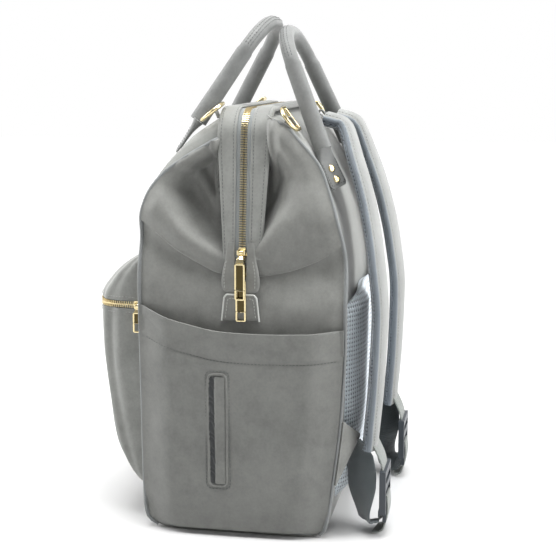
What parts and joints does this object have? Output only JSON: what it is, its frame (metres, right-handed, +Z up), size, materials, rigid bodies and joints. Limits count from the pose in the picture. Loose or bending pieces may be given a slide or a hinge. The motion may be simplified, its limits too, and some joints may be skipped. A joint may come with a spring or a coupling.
{
  "type": "diaper bag",
  "caption": "Wide-mouth diaper backpack with a wire-framed zip mouth, rolled handles, a front pocket, side pockets with a wipes slot and a mesh back.",
  "frame": {"origin": "middle of the base's underside, on the floor", "axes": "+Z up, -Y towards the bag's front pocket, +Y towards the wearer's back, +X the side with the wipes slot"},
  "size_m": [0.285, 0.287, 0.4942],
  "materials": {
    "leatherette": "matte, suede-like grey",
    "piping": "matte",
    "air_mesh": "open spacer mesh",
    "board": "satin sheet",
    "lining": "woven polyester",
    "frame_steel": "zinc plated",
    "zip_tape": "woven tape",
    "gold_metal": "light gold, polished",
    "webbing": "flat woven webbing",
    "buckle_plastic": "moulded dark slate"
  },
  "bodies": {
    "bag": {"back_mesh_pad": "air_mesh", "back_panel": "leatherette", "back_yoke": "leatherette", "base_board": "board", "base_panel": "leatherette", "corner_patches": "leatherette", "frame_hinge_rivets": "frame_steel", "front_panel": "leatherette", "front_pocket_pouch": "leatherette", "inner_bottle_pockets": "lining", "lower_webbing_left": "webbing", "lower_webbing_right": "webbing", "main_lining": "lining", "pocket_zip_lower": "gold_metal", "rear_frame_wire": "frame_steel", "rear_gussets": "leatherette", "rear_handle_rivets": "gold_metal", "rear_handle_tabs": "leatherette", "rear_mouth_band": "leatherette", "rear_ring_loops": "leatherette", "rear_zip_tape": "zip_tape", "rear_zip_teeth": "gold_metal", "side_panel_left": "leatherette", "side_panel_right": "leatherette", "side_piping": "piping", "side_pocket_left": "leatherette", "side_pocket_right": "leatherette", "wipes_slot_trim": "leatherette", "zip_end_panels": "leatherette", "zip_end_tabs": "leatherette"},
    "front_mouth": {"front_mouth_band": "leatherette", "front_frame_wire": "frame_steel", "front_zip_tape": "zip_tape", "front_zip_teeth": "gold_metal", "front_top_panel": "leatherette", "front_gussets": "leatherette", "front_top_piping": "piping", "front_handle_tabs": "leatherette", "front_ring_loops": "leatherette"},
    "front_handle": {"front_handle": "leatherette"},
    "rear_handle": {"rear_handle": "leatherette"},
    "front_ring_right": {"front_ring_right": "gold_metal"},
    "front_ring_left": {"front_ring_left": "gold_metal"},
    "rear_ring_right": {"rear_ring_right": "gold_metal"},
    "rear_ring_left": {"rear_ring_left": "gold_metal"},
    "zip_slider_upper": {"zip_slider_upper": "gold_metal"},
    "zip_slider_lower": {"zip_slider_lower": "gold_metal"},
    "zip_pull_upper": {"zip_pull_upper": "gold_metal"},
    "zip_pull_lower": {"zip_pull_lower": "gold_metal"},
    "pocket_lid": {"pocket_lid": "leatherette", "pocket_zip_upper": "gold_metal"},
    "pocket_slider": {"pocket_slider": "gold_metal"},
    "pocket_pull": {"pocket_pull": "gold_metal"},
    "wipes_flap": {"wipes_flap": "leatherette"},
    "strap_right": {"strap_right": "leatherette", "strap_webbing_right": "webbing", "ladder_lock_right": "buckle_plastic"},
    "strap_left": {"strap_left": "leatherette", "strap_webbing_left": "webbing", "ladder_lock_left": "buckle_plastic"}
  },
  "joints": [
    {"name": "mouth_open", "type": "hinge", "parent": "bag", "child": "front_mouth", "pos_m": [0, 0, 0.262], "axis": [1, 0, 0], "range_deg": [0, 40], "deforming": ["front_top_panel", "front_gussets", "front_top_piping"]},
    {"name": "front_handle_fold", "type": "hinge", "parent": "front_mouth", "child": "front_handle", "pos_m": [0, -0.052, 0.394], "axis": [-1, 0, 0], "range_deg": [-120, 0]},
    {"name": "rear_handle_fold", "type": "hinge", "parent": "bag", "child": "rear_handle", "pos_m": [0, 0.069, 0.368], "axis": [-1, 0, 0], "range_deg": [0, 45]},
    {"name": "front_ring_right_swing", "type": "hinge", "parent": "front_mouth", "child": "front_ring_right", "pos_m": [0.093, -0.0338, 0.4036], "axis": [0, -0.7901, -0.613], "range_deg": [0, 100]},
    {"name": "front_ring_left_swing", "type": "hinge", "parent": "front_mouth", "child": "front_ring_left", "pos_m": [-0.093, -0.0338, 0.4036], "axis": [0, 0.7901, 0.613], "range_deg": [0, 100]},
    {"name": "rear_ring_right_swing", "type": "hinge", "parent": "bag", "child": "rear_ring_right", "pos_m": [0.093, 0.0415, 0.3976], "axis": [0, -0.6, 0.8], "range_deg": [0, 100]},
    {"name": "rear_ring_left_swing", "type": "hinge", "parent": "bag", "child": "rear_ring_left", "pos_m": [-0.093, 0.0415, 0.3976], "axis": [0, 0.6, -0.8], "range_deg": [0, 100]},
    {"name": "zip_upper_travel", "type": "slide", "parent": "bag", "child": "zip_slider_upper", "axis": [-0.0886, 0, 0.9961], "range_m": [0, 0.1]},
    {"name": "zip_lower_travel", "type": "slide", "parent": "bag", "child": "zip_slider_lower", "axis": [-0.0886, 0, 0.9961], "range_m": [-0.003, 0]},
    {"name": "zip_upper_pull_lift", "type": "hinge", "parent": "zip_slider_upper", "child": "zip_pull_upper", "pos_m": [0.12684, 0, 0.275], "axis": [0, -1, 0], "range_deg": [0, 150]},
    {"name": "zip_lower_pull_lift", "type": "hinge", "parent": "zip_slider_lower", "child": "zip_pull_lower", "pos_m": [0.12823, 0, 0.256], "axis": [0, -1, 0], "range_deg": [0, 150]},
    {"name": "pocket_lid_lift", "type": "hinge", "parent": "bag", "child": "pocket_lid", "pos_m": [0, -0.1015, 0.264], "axis": [-1, 0, 0], "range_deg": [0, 50]},
    {"name": "pocket_zip_travel", "type": "slide", "parent": "bag", "child": "pocket_slider", "axis": [0, -1, 0], "range_m": [0, 0.006]},
    {"name": "pocket_pull_lift", "type": "hinge", "parent": "pocket_slider", "child": "pocket_pull", "pos_m": [0.1035, -0.108, 0.2165], "axis": [0, -1, 0], "range_deg": [0, 150]},
    {"name": "wipes_flap_open", "type": "hinge", "parent": "bag", "child": "wipes_flap", "pos_m": [0.143, -0.0138, 0], "axis": [0, 0, 1], "range_deg": [0, 100]},
    {"name": "strap_right_swing", "type": "hinge", "parent": "bag", "child": "strap_right", "pos_m": [0, 0.054, 0.393], "axis": [1, 0, 0], "range_deg": [0, 15], "deforming": ["lower_webbing_right"]},
    {"name": "strap_left_swing", "type": "hinge", "parent": "bag", "child": "strap_left", "pos_m": [0, 0.054, 0.393], "axis": [1, 0, 0], "range_deg": [0, 15], "deforming": ["lower_webbing_left"]}
  ],
  "couplings": [
    {"joint": "zip_upper_pull_lift", "follows": "zip_lower_pull_lift", "ratio": 1}
  ]
}
